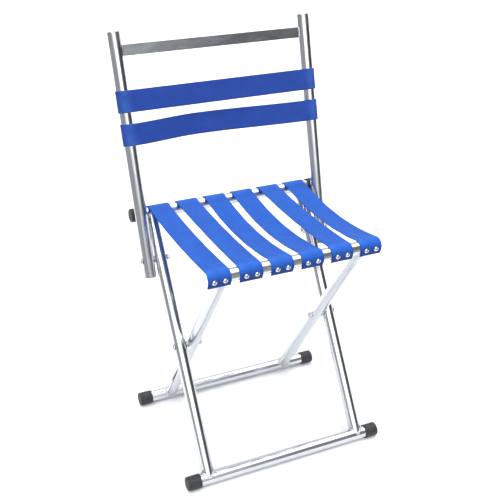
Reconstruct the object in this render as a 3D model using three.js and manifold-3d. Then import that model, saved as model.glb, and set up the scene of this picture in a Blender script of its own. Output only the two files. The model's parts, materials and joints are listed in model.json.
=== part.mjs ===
// A folding chair: two tube frames crossed as an X, a hinged back frame, webbing seat straps and back bands.
// Millimetres, +Z up. The chair faces -Y. Left (-X) and right (+X) are as seen from in front of it.
import * as THREE from 'three';
import { mergeVertices } from 'three/addons/utils/BufferGeometryUtils.js';
import Module from 'manifold-3d';

const wasm = await Module();
wasm.setup();

// Fits
const GAP = 0.3; // clearance between touching pieces

// Steel tube
const TUBE_R = 11;
const TUBE_WALL = 1.2;
const TUBE_SIDES = 24;

// Rubber end caps
const CAP_R = 12.5; // centre to flat
const CAP_LENGTH = 25;
const CAP_END = 2;
const CAP_BEVEL = 1.2;

// X frames, as distances across (x) and points in the side view (y, z)
const OUTER_LEG_X = 150;
const INNER_LEG_X = 126;
const FOOT_BAR_HALF = 191.5; // to the outside of the caps
const REAR_RAIL_HALF = 189; // to the outside of the caps
const FRONT_RAIL_HALF = 149; // the outer straps hide its ends
const FRONT_FOOT = new THREE.Vector2(-132, CAP_R);
const REAR_FOOT = new THREE.Vector2(132, CAP_R);
const FRONT_RAIL = new THREE.Vector2(-140, 421);
const REAR_RAIL = new THREE.Vector2(136, 415);

// Back frame
const POST_FOOT = new THREE.Vector2(80.3, 315.7);
const POST_TOP = new THREE.Vector2(206.5, 725);
const POST_FOOT_X = 173.6;
const POST_TOP_X = 180;
const CROSSBAR_HEIGHT = 19;
const CROSSBAR_THICKNESS = 3;
const CROSSBAR_ALONG = 398; // its middle, measured up the posts
const PLUG_FLANGE_R = 11.4;
const PLUG_FLANGE = 1.5;
const PLUG_DOME = 1.8;
const PLUG_STUB_R = 9.4;
const PLUG_STUB = 8;
const PLUG_CHAMFER = 1;

// Bolts, nuts and washers
const BOLT_R = 3;
const BOLT_HOLE_R = BOLT_R + GAP;
const HEAD_R = 5.6;
const HEAD_HEIGHT = 3;
const NUT_FLATS = 10;
const NUT_HEIGHT = 5;
const BOLT_PAST_NUT = 1.6;
const BOLT_CHAMFER = 0.8;
const WASHER_R = 6.5;
const SMALL_SIDES = 16;
const DOME = [[1, 0], [0.85, 0.55], [0.5, 0.9], [0, 1]]; // a domed head, as shares of its radius and height

// Webbing
const WEB_THICKNESS = 1.8;
const STRAP_WIDTH = 40;
const STRAP_PITCH = 54.4;
const STRAP_SAG = [4, 5, 14, 15, 6, 15]; // at mid span, left to right
const STRAP_GRIP = THREE.MathUtils.degToRad(20); // how far each strap grips its rails below their middles
const FLAP_LENGTH = 8.5;
const BAND_WIDTH = 38;
const BAND_CLEAR = 0.6; // the posts splay a little inside each band
const BAND_TAIL = THREE.MathUtils.degToRad(25); // how far each band runs on round the back of its posts
const STRAP_ARC_STEPS = 7;
const STRAP_SPAN_STEPS = 10;
const BAND_ARC_STEPS = 11;
const BAND_SPAN_STEPS = 8;
const BANDS = { upper: { along: 312.2, bow: 0 }, lower: { along: 255.2, bow: 11 } };

// Rivets, two through each strap's front end
const RIVET_SPACING = 18.5;
const RIVET_DROP = THREE.MathUtils.degToRad(6);
const RIVET_R = 1.5;
const RIVET_HEAD_R = 4.2;
const RIVET_HEAD_HEIGHT = 2;
const RIVET_TAIL_R = 2.4;
const RIVET_TAIL = 2;
const RIVET_SIDES = 10;

// The origin is on the floor, under the middle of the chair's depth.
const ORIGIN_Y = 31.27;

const steel = () => new THREE.MeshStandardMaterial({ color: 0xc9ccd2, roughness: 0.22, metalness: 1 });
const plate = () => new THREE.MeshStandardMaterial({ color: 0x9aa0a8, roughness: 0.35, metalness: 1 });
const rubber = () => new THREE.MeshStandardMaterial({ color: 0x232326, roughness: 0.7, metalness: 0 });
const seatWeb = () => new THREE.MeshStandardMaterial({ color: 0x2f66d8, roughness: 0.8, metalness: 0 });
const backWeb = () => new THREE.MeshStandardMaterial({ color: 0x2b4fa8, roughness: 0.8, metalness: 0 });

const SIDES = { left: -1, right: 1 };
const X_AXIS = new THREE.Vector3(1, 0, 0);
const Y_AXIS = new THREE.Vector3(0, 1, 0);

// ---------- solids ----------

/** A closed geometry as a solid that can be joined and cut. */
function solid(geometry) {
  const bare = geometry.clone();
  bare.deleteAttribute('normal');
  bare.deleteAttribute('uv');
  const merged = mergeVertices(bare, 1e-4);
  const triangles = [];
  for (let i = 0; i < merged.index.count; i += 3) {
    const [a, b, c] = [0, 1, 2].map((k) => merged.index.getX(i + k));
    if (a !== b && b !== c && c !== a) triangles.push(a, b, c);
  }
  return new wasm.Manifold(
    new wasm.Mesh({
      numProp: 3,
      vertProperties: Float32Array.from(merged.attributes.position.array),
      triVerts: Uint32Array.from(triangles),
    }),
  );
}

function geometryOf(body) {
  const { vertProperties, triVerts } = body.getMesh();
  const geometry = new THREE.BufferGeometry();
  geometry.setAttribute('position', new THREE.BufferAttribute(vertProperties, 3));
  geometry.setIndex(new THREE.BufferAttribute(triVerts, 1));
  return geometry;
}

/** A profile of [radius, height] points turned about an axis that runs from one point towards another. */
function turned(profile, from, towards, sides) {
  const points = profile.map(([r, h]) => new THREE.Vector2(r, h));
  const geometry = new THREE.LatheGeometry(points, sides);
  geometry.rotateY(Math.PI / sides); // flats, not corners, face along the main directions
  const direction = towards.clone().sub(from).normalize();
  geometry.applyQuaternion(new THREE.Quaternion().setFromUnitVectors(Y_AXIS, direction));
  return geometry.translate(from.x, from.y, from.z);
}

function pipe(from, to) {
  const length = from.distanceTo(to);
  const bore = TUBE_R - TUBE_WALL;
  const profile = [[bore, 0], [TUBE_R, 0], [TUBE_R, length], [bore, length], [bore, 0]];
  return turned(profile, from, to, TUBE_SIDES);
}

function rod(from, to, radius, sides) {
  const length = from.distanceTo(to);
  return turned([[0, 0], [radius, 0], [radius, length], [0, length]], from, to, sides);
}

/** The profile of a domed head, from its rim to its middle. */
function dome(radius, base, height) {
  return DOME.map(([r, h]) => [r * radius, base + h * height]);
}

/** A rod across the chair at a point of the side view, for cutting. */
function crossRod(point, halfLength, radius, sides = TUBE_SIDES) {
  return rod(at(-halfLength, point), at(halfLength, point), radius, sides);
}

const at = (x, point) => new THREE.Vector3(x, point.x, point.y);

/** Where the line a-b crosses the line c-d. */
function crossing(a, b, c, d) {
  const ab = b.clone().sub(a);
  const cd = d.clone().sub(c);
  return ab.multiplyScalar(c.clone().sub(a).cross(cd) / ab.cross(cd)).add(a);
}

const PIVOT = crossing(FRONT_FOOT, REAR_RAIL, REAR_FOOT, FRONT_RAIL);
const BACK_BOLT = crossing(FRONT_FOOT, REAR_RAIL, POST_FOOT, POST_TOP);
const POST_LENGTH = POST_FOOT.distanceTo(POST_TOP);
const BACK_LEAN = Math.atan2(POST_TOP.x - POST_FOOT.x, POST_TOP.y - POST_FOOT.y);
const BACK_BOLT_ALONG = BACK_BOLT.distanceTo(POST_FOOT);
const postX = (along) => THREE.MathUtils.lerp(POST_FOOT_X, POST_TOP_X, along / POST_LENGTH);

// ---------- assembly ----------

const chair = new THREE.Group();
const backFrame = new THREE.Group();
backFrame.position.set(0, POST_FOOT.x, POST_FOOT.y);
backFrame.rotation.x = -BACK_LEAN; // its z runs up the posts and its y points backwards
chair.add(backFrame);

function addPart(name, geometry, material, parent = chair) {
  const mesh = new THREE.Mesh(geometry, material);
  mesh.name = name;
  parent.add(mesh);
}

// ---------- steel frames ----------

/** A leg between a foot bar and a rail, its ends cut to saddle them and its bolt holes drilled. */
function leg(x, foot, rail, bolts) {
  let body = solid(pipe(at(x, foot), at(x, rail)));
  const reach = Math.abs(x) + 2 * TUBE_R;
  for (const point of [foot, rail]) body = body.subtract(solid(crossRod(point, reach, TUBE_R + GAP)));
  for (const point of bolts) {
    body = body.subtract(solid(crossRod(point, reach, BOLT_HOLE_R, SMALL_SIDES)));
  }
  return geometryOf(body);
}

for (const [side, sign] of Object.entries(SIDES)) {
  const outer = leg(sign * OUTER_LEG_X, FRONT_FOOT, REAR_RAIL, [PIVOT, BACK_BOLT]);
  const inner = leg(sign * INNER_LEG_X, REAR_FOOT, FRONT_RAIL, [PIVOT]);
  addPart(`outer_leg_${side}`, outer, steel());
  addPart(`inner_leg_${side}`, inner, steel());
}

/** A foot bar or the rear rail, with its two end caps. */
function cappedBar(barName, capName, point, half) {
  const barHalf = half - CAP_END - GAP;
  addPart(barName, pipe(at(-barHalf, point), at(barHalf, point)), steel());
  const outside = CAP_R / Math.cos(Math.PI / TUBE_SIDES);
  const inside = (TUBE_R + GAP) / Math.cos(Math.PI / TUBE_SIDES);
  const floor = CAP_LENGTH - CAP_END;
  const profile = [
    [0, floor],
    [inside, floor],
    [inside, 0],
    [outside, 0],
    [outside, CAP_LENGTH - CAP_BEVEL],
    [outside - CAP_BEVEL, CAP_LENGTH],
    [0, CAP_LENGTH],
  ];
  for (const [side, sign] of Object.entries(SIDES)) {
    const mouth = at(sign * (half - CAP_LENGTH), point);
    addPart(`${capName}_${side}`, turned(profile, mouth, at(sign * half, point), TUBE_SIDES), rubber());
  }
}

cappedBar('front_foot_bar', 'front_foot_cap', FRONT_FOOT, FOOT_BAR_HALF);
cappedBar('rear_foot_bar', 'rear_foot_cap', REAR_FOOT, FOOT_BAR_HALF);
cappedBar('rear_seat_rail', 'rear_rail_cap', REAR_RAIL, REAR_RAIL_HALF);

// ---------- front rail and rivets ----------

const rivetOut = new THREE.Vector3(0, -Math.cos(RIVET_DROP), -Math.sin(RIVET_DROP));
const strapX = (strap) => (strap - (STRAP_SAG.length - 1) / 2) * STRAP_PITCH;

/** Where each rivet's axis meets the front rail's axis: [name, point]. */
const rivets = STRAP_SAG.flatMap((_, strap) =>
  Object.entries(SIDES).map(([side, sign]) => [
    `strap_${strap + 1}_rivet_${side}`,
    at(strapX(strap) + (sign * RIVET_SPACING) / 2, FRONT_RAIL),
  ]),
);

/** The hole that each rivet needs through webbing and rail. */
const rivetHoles = rivets
  .map(([, centre]) => {
    const outside = centre.clone().addScaledVector(rivetOut, 2 * TUBE_R);
    return solid(rod(centre, outside, RIVET_R + GAP, RIVET_SIDES));
  })
  .reduce((all, hole) => all.add(hole));

const frontRail = solid(pipe(at(-FRONT_RAIL_HALF, FRONT_RAIL), at(FRONT_RAIL_HALF, FRONT_RAIL)));
addPart('front_seat_rail', geometryOf(frontRail.subtract(rivetHoles)), steel());

const headSeat = TUBE_R + GAP + WEB_THICKNESS + GAP;
const tailEnd = TUBE_R - TUBE_WALL - 2 * GAP;
const rivetProfile = [
  [0, tailEnd - RIVET_TAIL],
  [RIVET_TAIL_R, tailEnd - RIVET_TAIL],
  [RIVET_R, tailEnd],
  [RIVET_R, headSeat],
  ...dome(RIVET_HEAD_R, headSeat, RIVET_HEAD_HEIGHT),
];
for (const [name, centre] of rivets) {
  addPart(name, turned(rivetProfile, centre, centre.clone().add(rivetOut), RIVET_SIDES), steel());
}

// ---------- back frame ----------

const across = (x, along) => new THREE.Vector3(x, 0, along);
const postEnds = (sign) => [across(sign * POST_FOOT_X, 0), across(sign * POST_TOP_X, POST_LENGTH)];

const boltReach = POST_TOP_X + 2 * TUBE_R;
const backBoltHole = solid(
  rod(across(-boltReach, BACK_BOLT_ALONG), across(boltReach, BACK_BOLT_ALONG), BOLT_HOLE_R, SMALL_SIDES),
);

const plugProfile = [
  [0, -PLUG_STUB],
  [PLUG_STUB_R - PLUG_CHAMFER, -PLUG_STUB],
  [PLUG_STUB_R, PLUG_CHAMFER - PLUG_STUB],
  [PLUG_STUB_R, GAP],
  [PLUG_FLANGE_R, GAP],
  ...dome(PLUG_FLANGE_R, GAP + PLUG_FLANGE, PLUG_DOME),
];

for (const [side, sign] of Object.entries(SIDES)) {
  const [foot, top] = postEnds(sign);
  addPart(`back_post_${side}`, geometryOf(solid(pipe(foot, top)).subtract(backBoltHole)), steel(), backFrame);
  const above = top.clone().add(top.clone().sub(foot));
  addPart(`post_plug_${side}`, turned(plugProfile, top, above, TUBE_SIDES), steel(), backFrame);
}

/** The flat crossbar, its ends cut to meet the round posts. */
function crossbar() {
  const length = 2 * postX(CROSSBAR_ALONG);
  const bar = new THREE.BoxGeometry(length, CROSSBAR_THICKNESS, CROSSBAR_HEIGHT);
  let body = solid(bar.translate(0, 0, CROSSBAR_ALONG));
  for (const sign of Object.values(SIDES)) {
    body = body.subtract(solid(rod(...postEnds(sign), TUBE_R + GAP, TUBE_SIDES)));
  }
  return geometryOf(body);
}

addPart('back_crossbar', crossbar(), plate(), backFrame);

// ---------- bolts ----------

/** A bolt along x from its head's seat inwards, with its nut and the washer between the two tubes. */
function bolt(name, point, headSeatX, nutSeatX, washerX) {
  for (const [side, sign] of Object.entries(SIDES)) {
    const seat = at(sign * (headSeatX + GAP), point);
    const inwards = at(0, point);
    const shank = headSeatX - nutSeatX + 2 * GAP + NUT_HEIGHT + BOLT_PAST_NUT;
    const profile = [
      ...dome(HEAD_R, 0, -HEAD_HEIGHT).reverse(),
      [BOLT_R, 0],
      [BOLT_R, shank - BOLT_CHAMFER],
      [BOLT_R - BOLT_CHAMFER, shank],
      [0, shank],
    ];
    addPart(`${name}_bolt_${side}`, turned(profile, seat, inwards, SMALL_SIDES), steel());

    const half = (washerX[1] - washerX[0]) / 2 - GAP;
    const middle = at((sign * (washerX[0] + washerX[1])) / 2, point);
    const ring = [
      [BOLT_HOLE_R, -half],
      [WASHER_R, -half],
      [WASHER_R, half],
      [BOLT_HOLE_R, half],
      [BOLT_HOLE_R, -half],
    ];
    addPart(`${name}_washer_${side}`, turned(ring, middle, inwards, SMALL_SIDES), plate());

    addPart(`${name}_nut_${side}`, nut(at(sign * (nutSeatX - GAP), point), sign), steel());
  }
}

/** A hexagon nut lying along x, from its seat inwards. */
function nut(seat, sign) {
  const corner = NUT_FLATS / 2 / Math.cos(Math.PI / 6);
  const outline = new THREE.Shape();
  for (let k = 0; k < 6; k += 1) {
    const angle = (k * Math.PI) / 3;
    const [u, v] = [corner * Math.cos(angle), corner * Math.sin(angle)];
    if (k === 0) outline.moveTo(u, v);
    else outline.lineTo(u, v);
  }
  outline.closePath();
  outline.holes.push(new THREE.Path().absarc(0, 0, BOLT_HOLE_R, 0, 2 * Math.PI, true));
  const options = { depth: NUT_HEIGHT, bevelEnabled: false, curveSegments: SMALL_SIDES / 2 };
  const geometry = new THREE.ExtrudeGeometry(outline, options);
  geometry.rotateY((-sign * Math.PI) / 2);
  return geometry.translate(seat.x, seat.y, seat.z);
}

const legGap = [INNER_LEG_X + TUBE_R, OUTER_LEG_X - TUBE_R];
bolt('pivot', PIVOT, OUTER_LEG_X + TUBE_R, INNER_LEG_X - TUBE_R, legGap);

const boltedPostX = postX(BACK_BOLT_ALONG);
const postGap = [OUTER_LEG_X + TUBE_R, boltedPostX - TUBE_R];
bolt('back', BACK_BOLT, boltedPostX + TUBE_R, OUTER_LEG_X - TUBE_R, postGap);

// ---------- webbing ----------

/** The outline of a ribbon of even thickness that follows a line of points. */
function ribbon(line, thickness) {
  const normals = line.map((_, i) => {
    const before = line[Math.max(i - 1, 0)];
    const after = line[Math.min(i + 1, line.length - 1)];
    const step = after.clone().sub(before).normalize();
    return new THREE.Vector2(-step.y, step.x).multiplyScalar(thickness / 2);
  });
  const oneFace = line.map((point, i) => point.clone().add(normals[i]));
  const otherFace = line.map((point, i) => point.clone().sub(normals[i]));
  return new THREE.Shape([...oneFace, ...otherFace.reverse()]);
}

/** Points round an arc, ends included. */
function arc(centre, radius, start, end, steps) {
  return Array.from({ length: steps + 1 }, (_, i) => {
    const angle = THREE.MathUtils.lerp(start, end, i / steps);
    return new THREE.Vector2(Math.cos(angle), Math.sin(angle)).multiplyScalar(radius).add(centre);
  });
}

/** Side view of a strap: flap, over the rear rail, the sagging span, over the front rail, flap. */
function strapLine(sag) {
  const radius = TUBE_R + GAP + WEB_THICKNESS / 2;
  const span = REAR_RAIL.x - FRONT_RAIL.x;
  const fall = Math.atan((4 * sag) / span);
  const climb = Math.atan((FRONT_RAIL.y - REAR_RAIL.y) / span);
  const rear = arc(REAR_RAIL, radius, -STRAP_GRIP, Math.PI / 2 + fall - climb, STRAP_ARC_STEPS);
  const front = arc(FRONT_RAIL, radius, Math.PI / 2 - fall - climb, Math.PI + STRAP_GRIP, STRAP_ARC_STEPS);
  const [leave, meet] = [rear.at(-1), front[0]];
  const sagging = Array.from({ length: STRAP_SPAN_STEPS - 1 }, (_, i) => {
    const share = (i + 1) / STRAP_SPAN_STEPS;
    const point = leave.clone().lerp(meet, share);
    point.y -= 4 * sag * share * (1 - share);
    return point;
  });
  const down = (sign) => new THREE.Vector2(-sign * Math.sin(STRAP_GRIP), -Math.cos(STRAP_GRIP));
  const rearFlap = rear[0].clone().addScaledVector(down(1), FLAP_LENGTH);
  const frontFlap = front.at(-1).clone().addScaledVector(down(-1), FLAP_LENGTH);
  return [rearFlap, ...rear, ...sagging, ...front, frontFlap];
}

const sideView = new THREE.Matrix4().makeBasis(Y_AXIS, new THREE.Vector3(0, 0, 1), X_AXIS);

STRAP_SAG.forEach((sag, strap) => {
  const shape = ribbon(strapLine(sag), WEB_THICKNESS);
  const web = new THREE.ExtrudeGeometry(shape, { depth: STRAP_WIDTH, bevelEnabled: false });
  web.applyMatrix4(sideView).translate(strapX(strap) - STRAP_WIDTH / 2, 0, 0);
  addPart(`seat_strap_${strap + 1}`, geometryOf(solid(web).subtract(rivetHoles)), seatWeb());
});

/** Plan view of a band, looking down the posts: round one post, across their fronts, round the other. */
function bandLine(along, bow) {
  const radius = TUBE_R + BAND_CLEAR + WEB_THICKNESS / 2;
  const x = postX(along);
  const half = Math.PI / 2;
  const left = arc(new THREE.Vector2(-x, 0), radius, half - BAND_TAIL, 3 * half, BAND_ARC_STEPS);
  const right = arc(new THREE.Vector2(x, 0), radius, -half, half + BAND_TAIL, BAND_ARC_STEPS);
  const middle = Array.from({ length: BAND_SPAN_STEPS - 1 }, (_, i) => {
    const share = (i + 1) / BAND_SPAN_STEPS;
    return left.at(-1).clone().lerp(right[0], share).add(new THREE.Vector2(0, 4 * bow * share * (1 - share)));
  });
  return [...left, ...middle, ...right];
}

for (const [name, { along, bow }] of Object.entries(BANDS)) {
  const shape = ribbon(bandLine(along, bow), WEB_THICKNESS);
  const web = new THREE.ExtrudeGeometry(shape, { depth: BAND_WIDTH, bevelEnabled: false });
  addPart(`back_band_${name}`, web.translate(0, 0, along - BAND_WIDTH / 2), backWeb(), backFrame);
}

chair.position.y = -ORIGIN_Y;

export default chair;
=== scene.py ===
"""A folding chair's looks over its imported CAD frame: steel tube, welds, rivets, rubber caps and webbing.

Metres, +Z up, in the CAD's frame. The chair faces -Y. Left is -X.
"""

import json
import math

import bmesh
import bpy
import numpy as np
from mathutils import Matrix, Vector

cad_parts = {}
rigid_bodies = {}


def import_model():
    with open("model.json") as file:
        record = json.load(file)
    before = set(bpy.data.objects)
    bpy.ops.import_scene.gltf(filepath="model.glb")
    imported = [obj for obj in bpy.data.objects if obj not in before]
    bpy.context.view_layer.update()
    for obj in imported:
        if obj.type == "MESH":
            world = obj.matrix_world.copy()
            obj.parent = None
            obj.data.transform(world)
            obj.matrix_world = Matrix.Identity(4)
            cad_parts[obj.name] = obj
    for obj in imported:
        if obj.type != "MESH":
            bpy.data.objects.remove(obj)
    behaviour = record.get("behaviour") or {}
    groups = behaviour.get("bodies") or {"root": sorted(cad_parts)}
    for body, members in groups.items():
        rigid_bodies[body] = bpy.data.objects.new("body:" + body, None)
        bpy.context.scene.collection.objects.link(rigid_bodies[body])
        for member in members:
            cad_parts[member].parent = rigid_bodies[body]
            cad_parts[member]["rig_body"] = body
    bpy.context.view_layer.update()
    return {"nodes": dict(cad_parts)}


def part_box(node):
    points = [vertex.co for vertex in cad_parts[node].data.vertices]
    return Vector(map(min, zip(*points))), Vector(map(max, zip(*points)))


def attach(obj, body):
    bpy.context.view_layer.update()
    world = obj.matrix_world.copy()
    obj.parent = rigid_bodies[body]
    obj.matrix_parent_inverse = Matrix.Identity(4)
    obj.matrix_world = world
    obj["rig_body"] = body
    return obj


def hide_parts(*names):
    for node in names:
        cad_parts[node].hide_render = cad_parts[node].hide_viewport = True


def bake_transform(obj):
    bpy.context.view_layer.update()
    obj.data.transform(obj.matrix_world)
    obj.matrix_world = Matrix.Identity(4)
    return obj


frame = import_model()
nodes = frame["nodes"]

MM = 0.001
X, Y, Z = Vector((1, 0, 0)), Vector((0, 1, 0)), Vector((0, 0, 1))
SIDES = {"left": -1, "right": 1}

# Camera: in front of the chair, on its left and above it
CAMERA_AT = Vector((-0.59664, -1.28429, 1.10595))
CAMERA_YAW = math.radians(24.89)
CAMERA_PITCH = math.radians(27.84)
CAMERA_ROLL = math.radians(0.87)
CAMERA_LENS = 64.107  # on a 36 mm sensor

# Tube
TUBE_R = 11 * MM
TUBE_WALL = 1.2 * MM
TUBE_SIDES = 72
RIM = 0.3 * MM  # rounding of a cut end
SADDLE_SUNK = 0.3 * MM  # how far a saddled end runs into the tube that it is welded to
EDGE_HOLD = 0.3 * MM  # extra vertices this far from a rounded edge keep a flat face's shading flat

# Back frame: the posts' axes
POST_FOOT = Vector((173.6, 49.03, 315.7)) * MM
POST_TOP = Vector((180, 175.23, 725)) * MM
CROSSBAR_ALONG = 398 * MM  # up from the posts' feet, in the side view
CROSSBAR_HEIGHT = 19 * MM
CROSSBAR_THICKNESS = 3 * MM
CROSSBAR_EDGE = 0.7 * MM  # rounding of its long edges
CROSSBAR_SUNK = 0.6 * MM  # how far each end runs into its post

# Small steel parts
WELD_R = 1.9 * MM
WELD_PROUD = 0.2 * MM  # how far a leg's weld stands out of its corner
CROSSBAR_WELD_R = 2.2 * MM
HEAD_R, HEAD_HEIGHT = 5.6 * MM, 3 * MM
BOLT_R = 3 * MM
BOLT_TIP = 0.7 * MM  # chamfer
NUT_FLATS, NUT_HEIGHT = 10 * MM, 5 * MM
NUT_CLEAR, NUT_CHAMFER = 0.15 * MM, 0.4 * MM  # of its hole
WASHER_R = 6.5 * MM
WASHER_CLEAR, WASHER_EDGE = 0.2 * MM, 0.25 * MM
RIVET_R, RIVET_HEIGHT, RIVET_HOLE_R = 4.2 * MM, 2 * MM, 1.3 * MM
RIVET_SUNK = 0.1 * MM  # into webbing that isn't smoothed; the heads stand 0.2 mm off the smoothed webbing
RIVET_SPACING = 18.5 * MM
RIVET_DROP = math.radians(6)  # of a strap's rivets, below level
PLUG_R, PLUG_DEPTH = 11.4 * MM, 8 * MM
PLUG_LIFT = 0.05 * MM  # of its rim off the post's end

# Rubber caps
CAP_R = 12.5 * MM
CAP_LENGTH = 25 * MM
CAP_ROUND = 2 * MM
CAP_END = 3 * MM  # thickness of the closed end
CAP_DISH = 0.7 * MM  # depth of the hollow in it

# Webbing
WEB_THICKNESS = 1.8 * MM
WEB_CLEAR = 0.15 * MM  # between webbing and its tube, before smoothing draws the webbing in by about 0.4 mm
STRAP_WIDTH = 40 * MM
STRAP_PITCH = 54.4 * MM  # between middles
STRAP_GRIP = math.radians(20)  # how far past level a strap goes round a rail
FLAP_LENGTH = 8.5 * MM  # beyond that
ROW_STEP = 2.5 * MM  # between a web's rows of vertices
SELVAGE, SELVAGE_IN, SELVAGE_WIDTH = 0.12 * MM, 2 * MM, 0.8 * MM  # height, distance from the edge, spread
STRAP_HELD = 0.12  # share of a strap's length that each rail keeps flat
STRAP_RIPPLE = 0.25 * MM
STRAP_RUB, BAND_HIGHLIGHT = 9 * MM, 8 * MM  # reach of the wear fading where a strap bends over a rail, and of the painted highlight where a band curves round the front of a post
# painted shade on the strap flaps starts this far above the front rail's axis, and grows over this depth
SHADE_FROM, SHADE_DEPTH = 5 * MM, 8 * MM
# sag at mid span; twist, positive with the right edge lower; sideways drift and cupping at mid span
STRAPS = [
    {"sag": 4 * MM, "twist": 0.00, "drift": -1.5 * MM, "cup": 0.6 * MM},
    {"sag": 5 * MM, "twist": 0.05, "drift": 0.5 * MM, "cup": 0.4 * MM},
    {"sag": 14 * MM, "twist": 0.00, "drift": 0.0 * MM, "cup": 0.8 * MM},
    {"sag": 15 * MM, "twist": -0.02, "drift": 0.0 * MM, "cup": 0.8 * MM},
    {"sag": 6 * MM, "twist": 0.02, "drift": 0.0 * MM, "cup": 0.4 * MM},
    {"sag": 15 * MM, "twist": 0.03, "drift": 0.5 * MM, "cup": 0.8 * MM},
]
BAND_WIDTH = 38 * MM
BAND_TAIL = math.radians(25)  # how far a band goes round the back of a post
# bow is how far the middle stands back, arch how far it rises, both largest at the share of the span given
BANDS = {
    "upper": {"along": 312.2 * MM, "bow": 0, "arch": 0, "peak": 0.5},
    "lower": {"along": 255.2 * MM, "bow": 11 * MM, "arch": 4 * MM, "peak": 0.36},
}

# Studio. Azimuths run from in front of the chair (0) towards its right, in degrees, like elevations.
FLOOR_HALF = 12
FLOOR_DROP = 0.2 * MM  # below the feet
# where the floor starts and ends darkening, along each axis
FLOOR_FALLOFF = {"X": (-0.8, -1.2), "Y": (-0.45, -0.75)}
SKY_LEVEL = 0.42
# round patches of sky, each over the ones before it
SKY_PATCHES = [
    {"azimuth": 160, "elevation": 10, "radius": 70, "blur": 10, "level": 0.9},  # backdrop
    {"azimuth": -12, "elevation": 58, "radius": 48, "blur": 4, "level": 2.7},  # softbox
    {"azimuth": 0, "elevation": 90, "radius": 35, "blur": 8, "level": 3.8},  # overhead light
    {"azimuth": 50, "elevation": 22, "radius": 33, "blur": 5, "level": 0.28},  # shaded side
    {"azimuth": 66, "elevation": 12, "radius": 30, "blur": 10, "level": 0.08},  # its darkest part
    {"azimuth": -132, "elevation": 0, "radius": 34, "blur": 6, "level": 0.28},  # shaded rear
    {"azimuth": -20, "elevation": 2, "radius": 13, "blur": 6, "level": 0.85},  # window
]


# ---------- meshes ----------


def mesh_object(name, bm, sharp=35):
    """An object from a bmesh, smooth except at edges sharper than the given angle."""
    bmesh.ops.remove_doubles(bm, verts=bm.verts, dist=1e-7)
    bmesh.ops.recalc_face_normals(bm, faces=bm.faces)
    mesh = bpy.data.meshes.new(name)
    bm.to_mesh(mesh)
    bm.free()
    mesh.shade_smooth()
    mesh.set_sharp_from_angle(angle=math.radians(sharp))
    obj = bpy.data.objects.new(name, mesh)
    bpy.context.scene.collection.objects.link(obj)
    return obj


def skin(name, points, uvs, wrap=True, close=False, caps=False, sharp=35):
    """An object through a grid of points, rows by columns.

    wrap joins the last column to the first, and uvs then has one column more than points. close joins the
    last row to the first, and uvs then has one row more. caps fills the first and last rows.
    """
    rows, columns = points.shape[:2]
    bm = bmesh.new()
    layer = bm.loops.layers.uv.new("UVMap")
    verts = [[bm.verts.new(p) for p in row] for row in points]
    for i in range(rows if close else rows - 1):
        for j in range(columns if wrap else columns - 1):
            corners = [(i, j), (i, j + 1), (i + 1, j + 1), (i + 1, j)]
            face = bm.faces.new([verts[a % rows][b % columns] for a, b in corners])
            for loop, (a, b) in zip(face.loops, corners):
                loop[layer].uv = uvs[a, b]
    if caps:
        for row in (0, rows - 1):
            face = bm.faces.new(verts[row])
            for loop, uv in zip(face.loops, uvs[row]):
                loop[layer].uv = uv
    return mesh_object(name, bm, sharp)


def unit(vectors):
    return vectors / np.linalg.norm(vectors, axis=-1, keepdims=True)


def distances(points):
    """How far along a line each of its points is."""
    return np.concatenate([[0], np.cumsum(np.linalg.norm(np.diff(points, axis=0), axis=1))])


def evenly(points, step):
    """A line again, with points about a step apart."""
    along = distances(points)
    at = np.linspace(0, along[-1], round(along[-1] / step) + 1)
    return np.stack([np.interp(at, along, points[:, k]) for k in range(points.shape[1])], axis=1)


def smoothed(points, times):
    """A line with its kinks eased, its ends kept."""
    points = points.copy()
    for _ in range(times):
        points[1:-1] = (points[:-2] + 2 * points[1:-1] + points[2:]) / 4
    return points


def rounded(profile, radii, steps=5):
    """A polyline with its inner corners rounded. A radius of 0 keeps a corner."""
    profile = np.array(profile, float)
    made = [profile[0]]
    for before, corner, after, radius in zip(profile, profile[1:], profile[2:], radii):
        if radius == 0:
            made.append(corner)
            continue
        back, on = unit(before - corner), unit(after - corner)
        for t in np.linspace(0, 1, steps + 1):  # a Bezier arc between the two tangent points
            made.append(corner + radius * ((1 - t) ** 2 * back + t**2 * on))
    return np.array([*made, profile[-1]])


def held(profile):
    """A polyline with a point just inside each end of its longer segments."""
    made = []
    for start, end in zip(profile, profile[1:]):
        length = np.linalg.norm(end - start)
        made.append(start)
        if length > 4 * EDGE_HOLD:
            step = (end - start) * EDGE_HOLD / length
            made += [start + step, end - step]
    return np.array([*made, profile[-1]])


def turned(name, profile, at, axis, sides=48, sharp=35):
    """A profile of (radius, height) points turned about an axis through a point."""
    profile = held(np.array(profile, float))
    axis = axis.normalized()
    out = axis.orthogonal().normalized()
    up = axis.cross(out)
    angles = np.linspace(0, 2 * math.pi, sides, endpoint=False)
    round_it = np.outer(np.cos(angles), out) + np.outer(np.sin(angles), up)
    points = np.array(at) + profile[:, :1, None] * round_it + profile[:, 1:, None] * np.array(axis)
    run = distances(profile)
    turns = np.linspace(0, 2 * math.pi, sides + 1)
    uvs = np.stack(np.broadcast_arrays(turns[None, :] * profile[:, :1].max(), run[:, None]), axis=-1)
    return skin(name, points, uvs, sharp=sharp)


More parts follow.
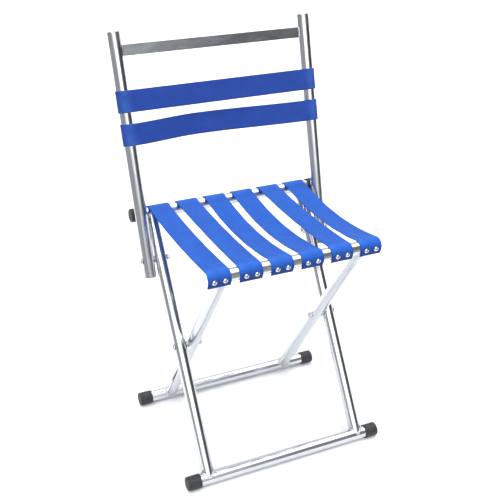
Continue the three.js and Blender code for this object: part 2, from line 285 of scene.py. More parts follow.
def tube(name, start, end, saddled=(False, False)):
    """An open tube. A saddled end is cut to fit a cross tube, along X through that end's point."""
    axis = (end - start).normalized()
    level = Y if abs(axis.x) > 0.9 else X
    across = (level - axis * level.dot(axis)).normalized()
    up = axis.cross(across)
    length = (end - start).length
    angles = np.linspace(0, 2 * math.pi, TUBE_SIDES, endpoint=False)
    round_it = np.outer(np.cos(angles), across) + np.outer(np.sin(angles), up)
    inner = TUBE_R - TUBE_WALL
    rings = [(inner, 0, 0), (TUBE_R - RIM, 0, 0), (TUBE_R - 0.3 * RIM, 0, 0.3 * RIM), (TUBE_R, 0, RIM)]
    rings += [(TUBE_R, 0, RIM + EDGE_HOLD), (TUBE_R, 0, RIM + 2 * EDGE_HOLD)]
    rings += [(r, 1, -inset) for r, _, inset in reversed(rings)]
    rows, heights = [], []
    for radius, end_index, inset in rings:
        heights.append(np.full(TUBE_SIDES, end_index * length + inset))
        if saddled[end_index]:
            reach = np.sqrt(np.maximum(TUBE_R**2 - (radius * np.sin(angles)) ** 2, 0)) - SADDLE_SUNK
            heights[-1] += reach if end_index == 0 else -reach
        rows.append(np.array(start) + radius * round_it + heights[-1][:, None] * np.array(axis))
    rows.append(rows[0])
    heights.append(heights[0])
    heights = np.array([np.append(h, h[0]) for h in heights])
    around = np.linspace(0, 2 * math.pi * TUBE_R, TUBE_SIDES + 1)
    uvs = np.stack(np.broadcast_arrays(around[None, :], heights), axis=-1)
    obj = skin(name, np.array(rows), uvs)
    near_ends = obj.data.uv_layers.new(name="Ends")
    flat = np.zeros(len(obj.data.loops) * 2, np.float32)
    obj.data.uv_layers["UVMap"].data.foreach_get("uv", flat)
    along = flat.reshape(-1, 2)[:, 1]
    near_ends.data.foreach_set("uv", np.stack([along, length - along], axis=1).ravel())
    obj.data.uv_layers.active = obj.data.uv_layers["UVMap"]
    return obj


def bead(name, line, outward, radius, closed, ripple=0.12):
    """A rippled weld bead along a line of points. Open ends taper off."""
    line, outward = np.array(line), unit(np.array(outward))
    count = len(line)
    if closed:
        along = np.roll(line, -1, axis=0) - np.roll(line, 1, axis=0)
    else:
        along = np.gradient(line, axis=0)
    side = unit(np.cross(along, outward))
    out = unit(np.cross(side, along))
    run = distances(line)
    fine, slow = np.sin(run / (0.55 * MM)), np.sin(run / (2.3 * MM) + 1)
    size = radius * (1 + ripple * fine + 0.1 * slow)
    if not closed:
        share = np.linspace(0, 1, count)
        size = size * np.sqrt(np.clip(12 * share * (1 - share), 0.02, 1))
    angles = np.linspace(0, 2 * math.pi, 14, endpoint=False)
    ring = np.cos(angles)[None, :, None] * side[:, None] + 0.8 * np.sin(angles)[None, :, None] * out[:, None]
    points = line[:, None] + size[:, None, None] * ring
    total = np.append(run, run[-1] + np.linalg.norm(line[0] - line[-1])) if closed else run
    around = np.linspace(0, 2 * math.pi * radius, len(angles) + 1)
    uvs = np.stack(np.broadcast_arrays(around[None, :], total[:, None]), axis=-1)
    return skin(name, points, uvs, close=closed, caps=not closed, sharp=60)


def ribbon(name, line, width_way, half_width, marks, lift=None):
    """Webbing along a line: a thin rounded section, a little thicker at its selvages.

    width_way is the unit direction across it at each point of the line. lift(share, across) raises a point by
    how far along it is, from 0 to 1, and how far across, from -1 to 1. marks are attributes, with a value from
    0 to 1 at each point of the line.
    """
    half = WEB_THICKNESS / 2
    across = np.linspace(-1, 1, 15)
    edge = np.linspace(-math.pi / 2, math.pi / 2, 6)[1:-1]
    flat = half_width - half
    from_ridge = (1 - abs(across)) * half_width - SELVAGE_IN
    selvage = SELVAGE * np.exp(-(from_ridge**2) / (2 * SELVAGE_WIDTH**2))
    top = np.stack([across * flat, half + selvage], axis=1)
    right = np.stack([flat + half * np.cos(edge[::-1]), half * np.sin(edge[::-1])], axis=1)
    section = np.concatenate([top, right, -top, -right])
    along = np.gradient(line, axis=0)
    normal = unit(np.cross(width_way, along))
    points = line[:, None] + section[:, 0, None] * width_way[:, None] + section[:, 1, None] * normal[:, None]
    share = distances(line) / distances(line)[-1]
    if lift is not None:
        rise = lift(share[:, None], section[None, :, 0] / half_width)
        points = points + rise[..., None] * normal[:, None]
    u = section[:, 0] + half_width
    u = np.append(u, u[0])
    uvs = np.stack(np.broadcast_arrays(u[None, :], distances(line)[:, None]), axis=-1)
    obj = skin(name, points, uvs, caps=True, sharp=80)
    for mark, values in marks.items():
        attribute = obj.data.attributes.new(mark, "FLOAT", "POINT")
        attribute.data.foreach_set("value", np.repeat(values, len(section)).astype(np.float32))
    return obj


# ---------- materials ----------


class Nodes:
    """Short ways to add nodes to a material or world and join them."""

    def __init__(self, owner, shader="Principled BSDF", **shader_values):
        owner.use_nodes = True
        self.owner = owner
        self.tree = owner.node_tree
        self.shader = self.tree.nodes[shader]
        for socket, value in shader_values.items():
            self.shader.inputs[socket.replace("_", " ")].default_value = value

    def add(self, kind, inputs=None, **settings):
        node = self.tree.nodes.new("ShaderNode" + kind)
        for name, value in settings.items():
            setattr(node, name, value)
        for name, value in (inputs or {}).items():
            self.feed(node.inputs[name], value)
        return node

    def feed(self, socket, value):
        if isinstance(value, bpy.types.NodeSocket):
            self.tree.links.new(value, socket)
        else:
            socket.default_value = value

    def math(self, operation, *values):
        node = self.add("Math", operation=operation)
        for socket, value in zip(node.inputs, values):
            self.feed(socket, value)
        return node.outputs[0]

    def uv(self, layer="UVMap"):
        """The two coordinates of a UV map, in metres."""
        node = self.add("UVMap", uv_map=layer)
        parts = self.add("SeparateXYZ", {"Vector": node.outputs["UV"]})
        return parts.outputs["X"], parts.outputs["Y"]

    def noise(self, u, v, scale_u, scale_v, detail=3.0, distortion=0.0):
        """Noise stretched over two coordinates, with features 1 / scale long."""
        x, y = self.math("MULTIPLY", u, scale_u), self.math("MULTIPLY", v, scale_v)
        place = self.add("CombineXYZ", {"X": x, "Y": y}).outputs[0]
        settings = {"Vector": place, "Scale": 1.0, "Detail": detail, "Distortion": distortion}
        return self.add("TexNoise", settings).outputs["Fac"]

    def cloud(self, scale, detail=3.0):
        """Noise through space, for pieces without a useful UV map."""
        place = self.add("TexCoord").outputs["Object"]
        return self.add("TexNoise", {"Vector": place, "Scale": scale, "Detail": detail}).outputs["Fac"]

    def between(self, value, low, high, to_low=0.0, to_high=1.0):
        """A value between low and high, carried to another range and kept in it."""
        node = self.add("MapRange", {"Value": value, 1: low, 2: high, 3: to_low, 4: to_high})
        return node.outputs["Result"]

    def mixed(self, share, first, second):
        node = self.add("Mix", data_type="RGBA")
        self.feed(node.inputs["Factor"], share)
        self.feed(node.inputs[6], first)
        self.feed(node.inputs[7], second)
        return node.outputs[2]

    def finish(self, colour=None, roughness=None, height=None, depth=0.0):
        if colour is not None:
            self.feed(self.shader.inputs["Base Color"], colour)
        if roughness is not None:
            self.feed(self.shader.inputs["Roughness"], roughness)
        if height is not None:
            bump = self.add("Bump", {"Height": height, "Strength": 1.0, "Distance": depth})
            self.feed(self.shader.inputs["Normal"], bump.outputs["Normal"])
        return self.owner


def new_material(name, **shader_values):
    return Nodes(bpy.data.materials.new(name), **shader_values)


def colour(r, g, b):
    return (r, g, b, 1.0)


def tube_steel():
    """Plated tube: fine draw lines along it, handling marks, and a dull tint by the welds."""
    n = new_material("tube_steel", Metallic=1.0)
    u, v = n.uv()
    lines = n.noise(u, v, 1500, 14, detail=4)
    smears = n.noise(u, v, 60, 30, detail=3, distortion=0.6)
    near, far = n.uv("Ends")
    end = n.math("MINIMUM", near, far)
    tint = n.math("MULTIPLY", n.between(end, 13 * MM, 30 * MM, 1, 0), n.between(smears, 0.35, 0.65, 0.5, 1))
    plain = n.mixed(n.between(lines, 0.35, 0.65), colour(0.585, 0.61, 0.64), colour(0.69, 0.715, 0.75))
    surface = n.mixed(n.math("MULTIPLY", tint, 0.45), plain, colour(0.42, 0.40, 0.38))
    rough = n.math("ADD", n.between(smears, 0.3, 0.7, 0.10, 0.18), n.between(lines, 0.3, 0.7, 0, 0.03))
    rough = n.math("ADD", rough, n.math("MULTIPLY", tint, 0.12))
    return n.finish(surface, rough, lines, 0.02 * MM)


def flat_steel():
    """The crossbar's mill finish, brushed along its length."""
    n = new_material("flat_steel", Metallic=1.0)
    u, v = n.uv()
    brushed = n.noise(u, v, 2600, 25, detail=4)
    clouds = n.noise(u, v, 55, 20, detail=3, distortion=0.8)
    surface = n.mixed(n.between(clouds, 0.3, 0.7), colour(0.28, 0.30, 0.32), colour(0.37, 0.39, 0.42))
    rough = n.math("ADD", n.between(brushed, 0.3, 0.7, 0.16, 0.24), n.between(clouds, 0.3, 0.7, 0, 0.06))
    return n.finish(surface, rough, brushed, 0.03 * MM)


def plated(name, dark, light, roughness, depth=0.02 * MM):
    """Small plated parts: mottled, with a fine grain."""
    n = new_material(name, Metallic=1.0)
    spots = n.cloud(420, 4)
    grain = n.cloud(2400, 2)
    surface = n.mixed(n.between(spots, 0.35, 0.65), dark, light)
    return n.finish(surface, n.between(spots, 0.3, 0.7, roughness, roughness + 0.15), grain, depth)


def weld_steel():
    n = new_material("weld_steel", Metallic=1.0)
    spots = n.cloud(500, 4)
    surface = n.mixed(n.between(spots, 0.35, 0.65), colour(0.38, 0.37, 0.37), colour(0.76, 0.77, 0.79))
    return n.finish(surface, n.between(spots, 0.3, 0.7, 0.28, 0.5), spots, 0.1 * MM)


def cap_rubber():
    """Moulded rubber: fine grain, dusty patches, and scuffs where it meets the floor."""
    n = new_material("cap_rubber", Specular_IOR_Level=0.45)
    dust, grain = n.cloud(160, 5), n.cloud(3200, 2)
    height = n.add("SeparateXYZ", {"Vector": n.add("TexCoord").outputs["Object"]}).outputs["Z"]
    scuff = n.math("MULTIPLY", n.between(height, 0.5 * MM, 3 * MM, 1, 0), n.between(dust, 0.4, 0.6))
    plain = n.mixed(n.between(dust, 0.42, 0.75), colour(0.013, 0.014, 0.017), colour(0.028, 0.031, 0.037))
    surface = n.mixed(n.math("MULTIPLY", scuff, 0.5), plain, colour(0.16, 0.155, 0.15))
    return n.finish(surface, n.between(dust, 0.3, 0.7, 0.42, 0.62), grain, 0.05 * MM)


def webbing(name, deep, bright, worn_and_highlight, width):
    """Woven polypropylene: short floats in columns, half a float out of step, and tighter selvages."""
    n = new_material(name, Sheen_Weight=0.04, Sheen_Roughness=0.4, Specular_IOR_Level=0.14)
    u, v = n.uv()
    column = n.math("DIVIDE", u, 1.25 * MM)
    step = n.math("MULTIPLY", n.math("FLOOR", column), 0.5)
    float_share = n.math("FRACT", n.math("ADD", n.math("DIVIDE", v, 2.1 * MM), step))
    over = n.math("SINE", n.math("MULTIPLY", float_share, math.pi))
    side = n.math("SINE", n.math("MULTIPLY", n.math("FRACT", column), math.pi))
    yarn = n.math("POWER", n.math("MULTIPLY", over, side), 0.6)
    fibre = n.noise(u, v, 5000, 900, detail=3)
    patches = n.noise(u, v, 45, 30, detail=4)
    edge = n.math("MINIMUM", u, n.math("SUBTRACT", width, u))
    selvage = n.between(edge, 1.2 * MM, 2.6 * MM, 1, 0)
    shade = n.math("ADD", n.math("MULTIPLY", yarn, 0.62), n.math("MULTIPLY", fibre, 0.38))
    shade = n.math("SUBTRACT", shade, n.math("MULTIPLY", selvage, 0.12))
    shade = n.math("ADD", shade, n.between(patches, 0.3, 0.7, -0.1, 0.1))
    cloth = n.mixed(shade, deep, bright)
    # rub marks wear on the seat straps where they bend over the rails, and a painted highlight on the back
    # bands where they curve round the front of each post
    rub_and_highlight = n.add("Attribute", attribute_name="rub_and_highlight").outputs["Fac"]
    fade_and_highlight = n.math("MULTIPLY", rub_and_highlight, n.between(patches, 0.35, 0.65, 0.2, 0.6))
    # painted shade: darkens the flaps that wrap under the rails towards a deep navy, where shade falls
    painted_shade = n.add("Attribute", attribute_name="painted_shade").outputs["Fac"]
    painted_shade = n.math("MULTIPLY", painted_shade, n.between(patches, 0.35, 0.65, 0.3, 0.5))
    surface = n.mixed(painted_shade, n.mixed(fade_and_highlight, cloth, worn_and_highlight), colour(0.012, 0.016, 0.06))
    height = n.math("ADD", n.math("MULTIPLY", yarn, 0.8), n.math("MULTIPLY", fibre, 0.2))
    return n.finish(surface, n.between(yarn, 0, 1, 0.78, 0.62), height, 0.22 * MM)


def floor_material():
    """A pale sweep that falls off into shade in front of the chair and on its left."""
    n = new_material("floor", Roughness=0.9, Specular_IOR_Level=0.0)
    at = n.add("SeparateXYZ", {"Vector": n.add("TexCoord").outputs["Object"]}).outputs
    shade = n.math("MAXIMUM", *(n.between(at[axis], *ends) for axis, ends in FLOOR_FALLOFF.items()))
    pale = n.mixed(n.cloud(9, 4), colour(0.77, 0.77, 0.79), colour(0.80, 0.80, 0.815))
    return n.finish(n.mixed(shade, pale, colour(0.22, 0.22, 0.23)))


TUBE_STEEL = tube_steel()
FLAT_STEEL = flat_steel()
WELD_STEEL = weld_steel()
FASTENER_STEEL = plated("fastener_steel", colour(0.50, 0.51, 0.53), colour(0.70, 0.71, 0.73), 0.22)
RIVET_METAL = plated("rivet_metal", colour(0.66, 0.66, 0.68), colour(0.80, 0.80, 0.82), 0.12)
DARK_METAL = plated("dark_metal", colour(0.10, 0.10, 0.11), colour(0.2, 0.2, 0.21), 0.4)
CAP_RUBBER = cap_rubber()
SEAT_WEB = webbing(
    "seat_web",
    deep=colour(0.006, 0.044, 0.24),
    bright=colour(0.021, 0.114, 0.52),
    worn_and_highlight=colour(0.028, 0.130, 0.54),
    width=STRAP_WIDTH,
)
BACK_WEB = webbing(
    "back_web",
    deep=colour(0.009, 0.031, 0.20),
    bright=colour(0.030, 0.084, 0.40),
    # for the back bands this lighter colour is a painted highlight where they curve round the posts
    worn_and_highlight=colour(0.050, 0.14, 0.48),
    width=BAND_WIDTH,
)


# ---------- pieces ----------


def place(obj, material, slot, body=None, stands_for=()):
    """Gives a piece its material and its body, and hides the CAD nodes that it stands for."""
    obj.data.materials.append(material)
    if body:
        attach(obj, body)
    if stands_for:
        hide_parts(*stands_for)
    return obj


def body_of(node):
    return nodes[node]["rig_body"]


def centre(node):
    low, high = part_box(node)
    return (low + high) / 2


def side_point(node, x=0.0):
    """The middle of a cross tube's height and depth, at a distance across the chair."""
    middle = centre(node)
    return Vector((x, middle.y, middle.z))


# ---------- tubes and welds ----------


def saddle_weld(name, leg_x, at_node, to_node, body):
    """The weld all round where a leg meets a cross tube, its saddle line eased at the two low points."""
    foot, far = side_point(at_node, leg_x), side_point(to_node, leg_x)
    axis = (far - foot).normalized()
    up = np.array(axis.cross(X))
    angles = np.linspace(0, 2 * math.pi, 120, endpoint=False)
    leg_out = np.outer(np.cos(angles), X) + np.outer(np.sin(angles), up)
    reach = TUBE_R * np.sqrt(np.cos(angles) ** 2 + 0.01)
    line = np.array(foot) + TUBE_R * leg_out + reach[:, None] * np.array(axis)
    from_tube = line - np.array(foot)
    from_tube[:, 0] = 0
    outward = leg_out + unit(from_tube)
    weld = bead(name, line + WELD_PROUD * unit(outward), outward, WELD_R, closed=True)
    return place(weld, WELD_STEEL, "steel_tube", body)


LEGS = {"outer": ("front_foot_bar", "rear_seat_rail"), "inner": ("rear_foot_bar", "front_seat_rail")}
for kind, (low_bar, high_bar) in LEGS.items():
    for side in SIDES:
        node = f"{kind}_leg_{side}"
        leg_x = centre(node).x
        foot, top = side_point(low_bar, leg_x), side_point(high_bar, leg_x)
        leg = tube(node + "_tube", foot, top, saddled=(True, True))
        place(leg, TUBE_STEEL, "steel_tube", body_of(node), [node])
        saddle_weld(f"{node}_foot_weld", leg_x, low_bar, high_bar, body_of(node))
        saddle_weld(f"{node}_top_weld", leg_x, high_bar, low_bar, body_of(node))

for node in ("front_foot_bar", "rear_foot_bar", "front_seat_rail", "rear_seat_rail"):
    low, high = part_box(node)
    bar = tube(node + "_tube", side_point(node, low.x), side_point(node, high.x))
    place(bar, TUBE_STEEL, "steel_tube", body_of(node), [node])

POST_AXIS = (POST_TOP - POST_FOOT).normalized()
POST_LENGTH = (POST_TOP - POST_FOOT).length
BACK_UP = Vector((0, POST_AXIS.y, POST_AXIS.z)).normalized()
BACK_REAR = X.cross(BACK_UP) * -1  # square to the back frame's plane, pointing behind the chair


def post_point(sign, along):
    """A point on a post's axis. along is measured in the side view."""
    side_length = Vector((0, *(POST_TOP - POST_FOOT).yz)).length
    point = POST_FOOT.lerp(POST_TOP, along / side_length)
    return Vector((sign * point.x, point.y, point.z))


for side, sign in SIDES.items():
    node = f"back_post_{side}"
    foot = Vector((sign * POST_FOOT.x, *POST_FOOT.yz))
    top = Vector((sign * POST_TOP.x, *POST_TOP.yz))
    place(tube(node + "_tube", foot, top), TUBE_STEEL, "steel_tube", "back_frame", [node])

    plug = f"post_plug_{side}"
    dome = [(0, 2.9 * MM), (0.45 * PLUG_R, 2.7 * MM), (0.8 * PLUG_R, 2.0 * MM), (PLUG_R, 0.9 * MM)]
    stem = [(0.8 * PLUG_R, PLUG_LIFT), (0.8 * PLUG_R, -PLUG_DEPTH), (0, -PLUG_DEPTH)]
    profile = [*dome, (PLUG_R, PLUG_LIFT), *stem]
    profile = rounded(profile, [0, 0, 0.5 * MM, 0.25 * MM, 0, 0.5 * MM], 4)
    plug_piece = turned(f"{plug}_cap", profile, top, top - foot, 64, sharp=50)
    place(plug_piece, TUBE_STEEL, "post_plug", "back_frame", [plug])


# ---------- crossbar ----------

bar_middle = post_point(0, CROSSBAR_ALONG)
bar_half = post_point(1, CROSSBAR_ALONG).x - TUBE_R + CROSSBAR_SUNK
half_high, half_thick = CROSSBAR_HEIGHT / 2, CROSSBAR_THICKNESS / 2
corners = [(-half_high, 0), (-half_high, half_thick), (half_high, half_thick), (half_high, -half_thick)]
corners += [(-half_high, -half_thick), (-half_high, 0)]
section = held(rounded(corners, [CROSSBAR_EDGE] * 4, 4))[:-1]
xs = np.linspace(-bar_half, bar_half, 40)
points = (
    np.array(bar_middle)
    + xs[:, None, None] * np.array(X)
    + section[None, :, :1] * np.array(BACK_UP)
    + section[None, :, 1:] * np.array(BACK_REAR)
)
girth = distances(np.vstack([section, section[:1]]))
uvs = np.stack(np.broadcast_arrays(girth[None, :], xs[:, None]), axis=-1)
crossbar = skin("back_crossbar_plate", points, uvs, caps=True, sharp=50)
place(crossbar, FLAT_STEEL, "flat_bar", "back_frame", ["back_crossbar"])

for side, sign in SIDES.items():
    for face, way in {"front": -1, "rear": 1}.items():
        touch = sign * (post_point(1, CROSSBAR_ALONG).x - TUBE_R)
        ups = np.linspace(-half_high, half_high, 36)
        line = [Vector((touch, *bar_middle.yz)) + BACK_UP * up + BACK_REAR * (way * half_thick) for up in ups]
        outward = [BACK_REAR * way - X * sign] * len(line)
        weld = bead(f"crossbar_weld_{face}_{side}", line, outward, CROSSBAR_WELD_R, closed=False)
        place(weld, WELD_STEEL, "steel_tube", "back_frame")


# ---------- rubber caps ----------

CAP_INSIDE = TUBE_R + 0.05 * MM
# from the dished end, along the side with its ring groove, round the mouth and back inside
cap_profile = rounded(
    [
        (0, CAP_LENGTH - CAP_DISH),
        (CAP_R - 3.6 * MM, CAP_LENGTH - CAP_DISH),
        (CAP_R - 2.8 * MM, CAP_LENGTH),
        (CAP_R, CAP_LENGTH),
        (CAP_R, 2.2 * MM),
        (CAP_R - 0.25 * MM, 1.7 * MM),
        (CAP_R, 1.2 * MM),
        (CAP_R, 0),
        (CAP_INSIDE, 0),
        (CAP_INSIDE, CAP_LENGTH - CAP_END),
        (0, CAP_LENGTH - CAP_END),
    ],
    [0.3 * MM, 0.3 * MM, CAP_ROUND, 0.2 * MM, 0.2 * MM, 0.2 * MM, 0.5 * MM, 0.3 * MM, 0],
)
for bar in ("front_foot", "rear_foot", "rear_rail"):
    for side, sign in SIDES.items():
        node = f"{bar}_cap_{side}"
        low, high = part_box(node)
        mouth = side_point(node, high.x if sign < 0 else low.x)
        cap = turned(node + "_rubber", cap_profile, mouth, X * sign, 64, sharp=40)
        place(cap, CAP_RUBBER, "rubber_cap", body_of(node), [node])


# ---------- bolts, nuts and washers ----------


def hexagon_nut(name, seat, axis):
    """A nut whose outer corners are chamfered, from its seat along an axis."""
    sides = 48
    angles = np.linspace(0, 2 * math.pi, sides, endpoint=False)
    turn = (angles % (math.pi / 3)) - math.pi / 6
    flats = NUT_FLATS / 2 / np.cos(turn)
    out = axis.orthogonal().normalized()
    up = axis.cross(out)
    round_it = np.outer(np.cos(angles), out) + np.outer(np.sin(angles), up)
    chamfer = np.maximum(flats - NUT_FLATS / 2 * 1.02, 0)
    bore, face = BOLT_R + NUT_CLEAR, 0.95 * NUT_FLATS / 2
    rings = [(bore, 0), (face, 0), (flats - chamfer, 0), (flats, 0.55 * chamfer)]
    rings += [(flats, NUT_HEIGHT - 0.55 * chamfer), (flats - chamfer, NUT_HEIGHT), (face, NUT_HEIGHT)]
    rings += [(bore + NUT_CHAMFER, NUT_HEIGHT), (bore, NUT_HEIGHT - NUT_CHAMFER), (bore, 0)]
    radii, heights = (np.stack([np.broadcast_to(ring[k], sides) for ring in rings]) for k in (0, 1))
    points = np.array(seat) + radii[..., None] * round_it + heights[..., None] * np.array(axis)
    around, along = np.linspace(0, 30 * MM, sides + 1), np.linspace(0, 20 * MM, len(rings))
    return skin(name, points, np.stack(np.meshgrid(around, along), axis=-1), sharp=25)


for joint in ("pivot", "back"):
    for side, sign in SIDES.items():
        inwards = X * -sign
        bolt, washer, nut = (f"{joint}_{part}_{side}" for part in ("bolt", "washer", "nut"))
        low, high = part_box(bolt)
        outer_x = low.x if sign < 0 else high.x
        length = high.x - low.x
        head = rounded(
            [
                (0, 0),
                (0.5 * HEAD_R, 0.25 * MM),
                (0.88 * HEAD_R, 1.4 * MM),
                (HEAD_R, HEAD_HEIGHT),
                (BOLT_R, HEAD_HEIGHT),
                (BOLT_R, length - BOLT_TIP),
                (BOLT_R - BOLT_TIP, length),
                (0, length),
            ],
            [1.2 * MM, 1.2 * MM, 0.3 * MM, 0, 0.3 * MM, 0.2 * MM],
        )
        shank = turned(bolt + "_steel", head, side_point(bolt, outer_x), inwards, 40)
        place(shank, FASTENER_STEEL, "fastener", body_of(bolt), [bolt])

        low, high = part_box(washer)
        thick = high.x - low.x
        hole = BOLT_R + WASHER_CLEAR
        corners = [(hole, 0), (WASHER_R, 0), (WASHER_R, thick), (hole, thick), (hole, 0)]
        ring = rounded(corners, [WASHER_EDGE, WASHER_EDGE, 0], 3)
        seat = side_point(washer, low.x if sign > 0 else high.x)
        disc = turned(washer + "_steel", ring, seat, X * sign, 40)
        place(disc, FASTENER_STEEL, "fastener", body_of(washer), [washer])

        low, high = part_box(nut)
        seat = side_point(nut, low.x if sign < 0 else high.x)
        place(hexagon_nut(nut + "_steel", seat, inwards), FASTENER_STEEL, "fastener", body_of(nut), [nut])


# ---------- rivets ----------


def blind_rivet(name, base, out, body, stands_for=()):
    """A domed rivet head with its drawn pin sunk in the middle."""
    hole = RIVET_HOLE_R
    head = rounded(
        [
            (hole, 0.7 * MM),
            (hole, RIVET_HEIGHT),
            (0.55 * RIVET_R, 0.93 * RIVET_HEIGHT),
            (0.86 * RIVET_R, 0.5 * RIVET_HEIGHT),
            (RIVET_R, 0.16 * RIVET_HEIGHT),
            (RIVET_R, 0),
            (hole, 0),
            (hole, 0.7 * MM),
        ],
        [0.3 * MM, 0.7 * MM, 0.7 * MM, 0.15 * MM, 0.1 * MM, 0],
        4,
    )
    dome = turned(name, head, base, out, 40, sharp=50)
    place(dome, RIVET_METAL, "rivet", body, stands_for)
    core = [(hole, 0.1 * MM), (hole, 0.8 * MM), (0.5 * hole, 1.1 * MM), (0, 1.1 * MM)]
    pin = turned(name + "_pin", core, base, out, 24)
    place(pin, DARK_METAL, "rivet", body)


WEB_MIDDLE = TUBE_R + WEB_CLEAR + WEB_THICKNESS / 2
WEB_OUTSIDE = TUBE_R + WEB_CLEAR + WEB_THICKNESS
strap_x = [(k - (len(STRAPS) - 1) / 2) * STRAP_PITCH for k in range(len(STRAPS))]

for rail, way in {"front_seat_rail": -1, "rear_seat_rail": 1}.items():
    out = Y * (way * math.cos(RIVET_DROP)) - Z * math.sin(RIVET_DROP)
    for number, x in enumerate(strap_x, 1):
        for side, sign in SIDES.items():
            base = side_point(rail, x + sign * RIVET_SPACING / 2) + out * (WEB_OUTSIDE - RIVET_SUNK)
            if way < 0:
                node = f"strap_{number}_rivet_{side}"
                blind_rivet(node + "_head", base, out, body_of(node), [node])
            else:
                blind_rivet(f"strap_{number}_rear_rivet_{side}", base, out, body_of(rail))


# ---------- seat straps ----------


def arc(centre_point, radius, start, end, steps=40):
    angles = np.linspace(start, end, steps)
    return np.array(centre_point) + radius * np.stack([np.cos(angles), np.sin(angles)], axis=1)


def strap_line(sag):
    """Side view of a strap, as (y, z) points: flap, rear rail, sagging span, front rail, flap."""
    front, rear = (np.array(side_point(rail).yz) for rail in ("front_seat_rail", "rear_seat_rail"))
    span = rear[0] - front[0]
    fall, climb = math.atan(4 * sag / span), math.atan((front[1] - rear[1]) / span)
    over_rear = arc(rear, WEB_MIDDLE, -STRAP_GRIP, math.pi / 2 + fall - climb)
    over_front = arc(front, WEB_MIDDLE, math.pi / 2 - fall - climb, math.pi + STRAP_GRIP)
    share = np.linspace(0, 1, 100)[1:-1, None]
    sagging = over_rear[-1] + (over_front[0] - over_rear[-1]) * share
    sagging[:, 1] -= (4 * sag * share * (1 - share))[:, 0]
    down = np.array([-math.sin(STRAP_GRIP), -math.cos(STRAP_GRIP)])
    rear_flap = over_rear[0] + down * FLAP_LENGTH
    front_flap = over_front[-1] + down * [-1, 1] * FLAP_LENGTH
    return np.vstack([rear_flap, over_rear, sagging, over_front, front_flap])


front_rail, rear_rail = side_point("front_seat_rail"), side_point("rear_seat_rail")
for number, (x, strap) in enumerate(zip(strap_x, STRAPS), 1):
    side_view = smoothed(evenly(strap_line(strap["sag"]), ROW_STEP), 2)
    y = side_view[:, 0]
    hang = np.clip((rear_rail.y - y) / (rear_rail.y - front_rail.y), 0, 1)
    wave = np.sin(math.pi * hang)
    line = np.column_stack([x + strap["drift"] * wave, side_view])
    tilt = strap["twist"] * wave
    width_way = np.column_stack([np.cos(tilt), np.zeros_like(tilt), -np.sin(tilt)])
    from_rail = np.minimum(abs(y - front_rail.y), abs(y - rear_rail.y))
    # painted shade for the flaps: darker the lower a row hangs below the front rail, next to either rail
    low = np.clip((front_rail.z + SHADE_FROM - side_view[:, 1]) / SHADE_DEPTH, 0, 1)
    marks = {
        "rub_and_highlight": np.where(side_view[:, 1] > rear_rail.z, np.exp(-((from_rail / STRAP_RUB) ** 2)), 0),
        "painted_shade": low * (from_rail < 2 * TUBE_R),
    }

    def lift(share, across, cup=strap["cup"], phase=number):
        """Cupping between the rails, and the small waves of slack cloth."""
        free = np.sin(math.pi * np.clip((share - STRAP_HELD) / (1 - 2 * STRAP_HELD), 0, 1))
        ripple = STRAP_RIPPLE * np.sin(37 * share + 2.1 * phase) * across
        return free * (cup * (0.5 - across**2) + ripple)

    web = ribbon(f"seat_strap_{number}_web", line, width_way, STRAP_WIDTH / 2, marks, lift)
    place(web, SEAT_WEB, "seat_webbing", None, [f"seat_strap_{number}"])
    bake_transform(web)


# ---------- back bands ----------


def band_line(along, bow, arch, peak):
    """The middle of a band: from behind the left post, across the fronts of both, to behind the right one."""
    x = post_point(1, along).x
    quarter = math.pi / 2
    left = arc((-x, 0), WEB_MIDDLE, quarter - BAND_TAIL, 3 * quarter)
    right = arc((x, 0), WEB_MIDDLE, -quarter, quarter + BAND_TAIL)
    share = np.linspace(0, 1, 90)[1:-1, None]
    middle = left[-1] + (right[0] - left[-1]) * share
    bend = np.where(share < peak, share / peak, (1 - share) / (1 - peak))
    hump = np.sin(bend * quarter) ** 2
    middle[:, 1] += bow * hump[:, 0]
    plan = np.vstack([left, middle, right])
    rise = np.concatenate([np.zeros(len(left)), arch * hump[:, 0], np.zeros(len(right))])
    return np.column_stack([plan, rise])


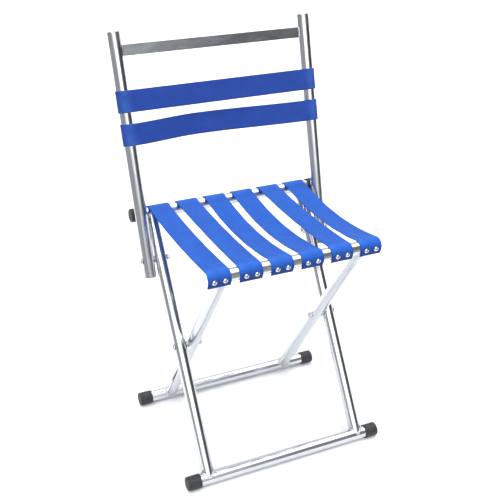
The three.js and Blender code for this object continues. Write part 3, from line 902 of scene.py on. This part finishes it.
for name, band in BANDS.items():
    plan = smoothed(evenly(band_line(**band), ROW_STEP), 2)
    post_x = post_point(1, band["along"]).x
    middle = np.array(post_point(0, band["along"]))
    sideways, rearward, upward = plan[:, :1], plan[:, 1:2], plan[:, 2:]
    line = middle + sideways * np.array(X) + rearward * np.array(BACK_REAR) + upward * np.array(BACK_UP)
    splay = (POST_TOP.x - POST_FOOT.x) / POST_LENGTH
    lean = np.clip(plan[:, 0] / post_x, -1, 1) * splay
    width_way = unit(np.array(BACK_UP) + lean[:, None] * np.array(X))
    # painted highlight where the band curves round the front of each post, on its front half only
    rub_and_highlight = np.exp(-(((abs(plan[:, 0]) - post_x) / BAND_HIGHLIGHT) ** 2))
    marks = {"rub_and_highlight": np.where(plan[:, 1] < 0, rub_and_highlight, 0)}
    web = ribbon(f"back_band_{name}_web", line, width_way, BAND_WIDTH / 2, marks)
    place(web, BACK_WEB, "back_webbing", "back_frame", [f"back_band_{name}"])
    for side, sign in SIDES.items():
        for level, way in {"low": -1, "high": 1}.items():
            up = way * RIVET_SPACING / 2
            base = post_point(sign, band["along"] + up) + BACK_REAR * (WEB_OUTSIDE - RIVET_SUNK)
            blind_rivet(f"band_{name}_rivet_{level}_{side}", base, BACK_REAR, "back_frame")


# ---------- floor, light and camera ----------

bm = bmesh.new()
bmesh.ops.create_grid(bm, x_segments=1, y_segments=1, size=FLOOR_HALF)
bmesh.ops.translate(bm, verts=bm.verts, vec=-FLOOR_DROP * Z)
floor = mesh_object("floor", bm)
floor.data.materials.append(floor_material())


def studio_world():
    """The sky that lights the chair and that its steel mirrors."""
    n = Nodes(bpy.data.worlds.new("studio"), "Background")
    way = n.add("TexCoord").outputs["Generated"]
    level = SKY_LEVEL
    for patch in SKY_PATCHES:
        angles = (patch[key] for key in ("azimuth", "elevation", "radius", "blur"))
        azimuth, elevation, radius, blur = map(math.radians, angles)
        level_way = Vector((math.sin(azimuth), -math.cos(azimuth), 0))
        middle = level_way * math.cos(elevation) + Z * math.sin(elevation)
        near = n.add("VectorMath", {0: way, 1: middle}, operation="DOT_PRODUCT").outputs["Value"]
        share = n.between(near, math.cos(radius + blur), math.cos(radius - blur))
        level = n.math("ADD", level, n.math("MULTIPLY", share, n.math("SUBTRACT", patch["level"], level)))
    n.feed(n.shader.inputs["Color"], level)
    return n.owner


bpy.context.scene.world = studio_world()
bpy.context.scene.view_settings.view_transform = "Standard"

camera = bpy.data.objects.new("camera", bpy.data.cameras.new("camera"))
bpy.context.scene.collection.objects.link(camera)
bpy.context.scene.camera = camera
camera.data.lens, camera.data.sensor_width = CAMERA_LENS, 36
ahead = Vector(
    (
        math.sin(CAMERA_YAW) * math.cos(CAMERA_PITCH),
        math.cos(CAMERA_YAW) * math.cos(CAMERA_PITCH),
        -math.sin(CAMERA_PITCH),
    )
)
level_right = Vector((math.cos(CAMERA_YAW), -math.sin(CAMERA_YAW), 0))
level_up = level_right.cross(ahead)
right = level_right * math.cos(CAMERA_ROLL) + level_up * math.sin(CAMERA_ROLL)
up = right.cross(ahead)
camera.matrix_world = Matrix.Translation(CAMERA_AT) @ Matrix((right, up, -ahead)).transposed().to_4x4()
